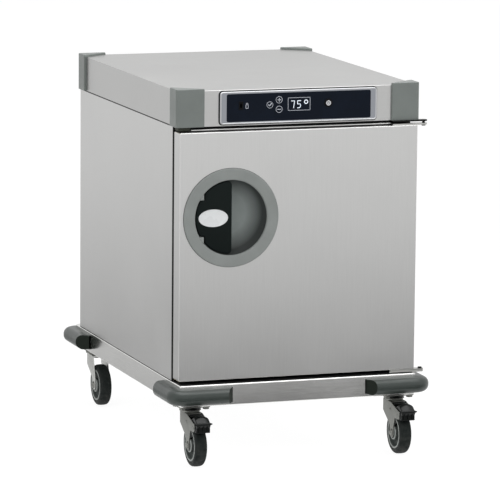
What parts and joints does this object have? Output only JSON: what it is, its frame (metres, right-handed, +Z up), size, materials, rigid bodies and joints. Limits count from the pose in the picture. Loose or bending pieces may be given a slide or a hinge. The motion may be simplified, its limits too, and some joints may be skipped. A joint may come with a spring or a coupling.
{
  "type": "banquet trolley",
  "caption": "Heated banquet trolley: insulated cabinet with a hinged door and recessed latch handle, control panel in the lid, corner bumpers and swivel castors with brakes.",
  "frame": {"origin": "on the floor, under the middle of the whole trolley's box", "axes": "+Z up, the door faces -Y, the door hinges are at +X"},
  "size_m": [0.794, 1.153, 1.076],
  "materials": {
    "stainless_outer": "brushed",
    "stainless_inner": "satin",
    "hinge_steel": "satin",
    "zinc_steel": "satin",
    "wheel_core": "matte",
    "tyre_rubber": "matte",
    "pedal_plastic": "matte",
    "bumper_rubber": "matte",
    "cap_plastic": "matte",
    "cup_plastic": "matte",
    "lever_plastic": "matte",
    "insulation": "matte",
    "gasket_rubber": "matte",
    "bezel_silver": "satin",
    "panel_glass": "gloss",
    "key_plastic": "satin",
    "button_metal": "satin",
    "socket_plastic": "matte",
    "circuit_board": "satin",
    "motor_paint": "satin",
    "impeller_alloy": "satin",
    "heater_steel": "satin"
  },
  "bodies": {
    "root": {"base_panel": "stainless_outer", "body_insulation": "insulation", "bumper_fl": "bumper_rubber", "bumper_fr": "bumper_rubber", "bumper_rl": "bumper_rubber", "bumper_rr": "bumper_rubber", "castor_bolts": "zinc_steel", "castor_plates": "zinc_steel", "ceiling_panel": "stainless_outer", "chassis_frame": "stainless_outer", "control_bezel": "bezel_silver", "control_board": "circuit_board", "control_glass": "panel_glass", "corner_cap_fl": "cap_plastic", "corner_cap_fr": "cap_plastic", "corner_cap_rl": "cap_plastic", "corner_cap_rr": "cap_plastic", "fan_baffle": "stainless_inner", "fan_motor": "motor_paint", "front_frame": "stainless_outer", "heater_element": "heater_steel", "hinge_brackets": "hinge_steel", "inner_liner": "stainless_inner", "latch_keeper": "hinge_steel", "power_inlet": "socket_plastic", "rack_guide_left": "stainless_inner", "rack_guide_right": "stainless_inner", "rear_panel": "stainless_outer", "side_panel_left": "stainless_outer", "side_panel_right": "stainless_outer", "top_cover": "stainless_outer", "usb_socket": "socket_plastic"},
    "door": {"door_outer_skin": "stainless_outer", "door_inner_skin": "stainless_inner", "door_insulation": "insulation", "door_gasket": "gasket_rubber", "handle_cup": "cup_plastic", "latch_pin": "hinge_steel", "hinge_arms": "hinge_steel"},
    "latch_lever": {"latch_lever": "lever_plastic"},
    "latch_bolt": {"latch_bolt": "hinge_steel"},
    "fan_impeller": {"fan_impeller": "impeller_alloy"},
    "key_select": {"key_select": "key_plastic"},
    "key_plus": {"key_plus": "key_plastic"},
    "key_minus": {"key_minus": "key_plastic"},
    "key_power": {"key_power": "button_metal"},
    "castor_fl_swivel": {"castor_fl_fork": "zinc_steel"},
    "castor_fl_wheel": {"castor_fl_wheel": "wheel_core", "castor_fl_tyre": "tyre_rubber"},
    "castor_fr_swivel": {"castor_fr_fork": "zinc_steel"},
    "castor_fr_wheel": {"castor_fr_wheel": "wheel_core", "castor_fr_tyre": "tyre_rubber"},
    "castor_rl_swivel": {"castor_rl_fork": "zinc_steel"},
    "castor_rl_wheel": {"castor_rl_wheel": "wheel_core", "castor_rl_tyre": "tyre_rubber"},
    "castor_rr_swivel": {"castor_rr_fork": "zinc_steel"},
    "castor_rr_wheel": {"castor_rr_wheel": "wheel_core", "castor_rr_tyre": "tyre_rubber"},
    "castor_fl_brake": {"castor_fl_brake": "pedal_plastic"},
    "castor_fr_brake": {"castor_fr_brake": "pedal_plastic"}
  },
  "joints": [
    {"name": "door_swing", "type": "hinge", "parent": "root", "child": "door", "pos_m": [0.38, -0.4755, 0.234], "axis": [0, 0, 1], "range_deg": [0, 265], "deforming": ["latch_keeper"]},
    {"name": "lever_pull", "type": "hinge", "parent": "door", "child": "latch_lever", "pos_m": [-0.294, -0.4795, 0.709], "axis": [0, 0, -1], "range_deg": [0, 25], "stiffness_Nm_per_rad": 1.5},
    {"name": "bolt_slide", "type": "slide", "parent": "door", "child": "latch_bolt", "axis": [1, 0, 0], "range_m": [0, 0.00685]},
    {"name": "key_select_press", "type": "slide", "parent": "root", "child": "key_select", "axis": [0, 1, 0], "range_m": [0, 0.0008], "stiffness_N_per_m": 600},
    {"name": "key_plus_press", "type": "slide", "parent": "root", "child": "key_plus", "axis": [0, 1, 0], "range_m": [0, 0.0008], "stiffness_N_per_m": 600},
    {"name": "key_minus_press", "type": "slide", "parent": "root", "child": "key_minus", "axis": [0, 1, 0], "range_m": [0, 0.0008], "stiffness_N_per_m": 600},
    {"name": "key_power_press", "type": "slide", "parent": "root", "child": "key_power", "axis": [0, 1, 0], "range_m": [0, 0.002], "stiffness_N_per_m": 600},
    {"name": "fan_spin", "type": "hinge", "parent": "root", "child": "fan_impeller", "pos_m": [0, 0.0095, 0.92], "axis": [0, 0, 1], "continuous": true},
    {"name": "castor_fl_swivel", "type": "hinge", "parent": "root", "child": "castor_fl_swivel", "pos_m": [-0.31, -0.4565, 0.159], "axis": [0, 0, 1], "continuous": true},
    {"name": "castor_fl_roll", "type": "hinge", "parent": "castor_fl_swivel", "child": "castor_fl_wheel", "pos_m": [-0.31, -0.4985, 0.0625], "axis": [1, 0, 0], "continuous": true},
    {"name": "castor_fr_swivel", "type": "hinge", "parent": "root", "child": "castor_fr_swivel", "pos_m": [0.31, -0.4565, 0.159], "axis": [0, 0, 1], "continuous": true},
    {"name": "castor_fr_roll", "type": "hinge", "parent": "castor_fr_swivel", "child": "castor_fr_wheel", "pos_m": [0.31, -0.4985, 0.0625], "axis": [1, 0, 0], "continuous": true},
    {"name": "castor_rl_swivel", "type": "hinge", "parent": "root", "child": "castor_rl_swivel", "pos_m": [-0.31, 0.4655, 0.159], "axis": [0, 0, 1], "continuous": true},
    {"name": "castor_rl_roll", "type": "hinge", "parent": "castor_rl_swivel", "child": "castor_rl_wheel", "pos_m": [-0.31, 0.4235, 0.0625], "axis": [1, 0, 0], "continuous": true},
    {"name": "castor_rr_swivel", "type": "hinge", "parent": "root", "child": "castor_rr_swivel", "pos_m": [0.31, 0.4655, 0.159], "axis": [0, 0, 1], "continuous": true},
    {"name": "castor_rr_roll", "type": "hinge", "parent": "castor_rr_swivel", "child": "castor_rr_wheel", "pos_m": [0.31, 0.4235, 0.0625], "axis": [1, 0, 0], "continuous": true},
    {"name": "castor_fl_brake_press", "type": "hinge", "parent": "castor_fl_swivel", "child": "castor_fl_brake", "pos_m": [-0.31, -0.5465, 0.121], "axis": [1, 0, 0], "range_deg": [0, 12]},
    {"name": "castor_fr_brake_press", "type": "hinge", "parent": "castor_fr_swivel", "child": "castor_fr_brake", "pos_m": [0.31, -0.5465, 0.121], "axis": [1, 0, 0], "range_deg": [0, 12]}
  ],
  "couplings": [
    {"joint": "bolt_slide", "follows": "lever_pull", "m_per_rad": 0.015584}
  ]
}
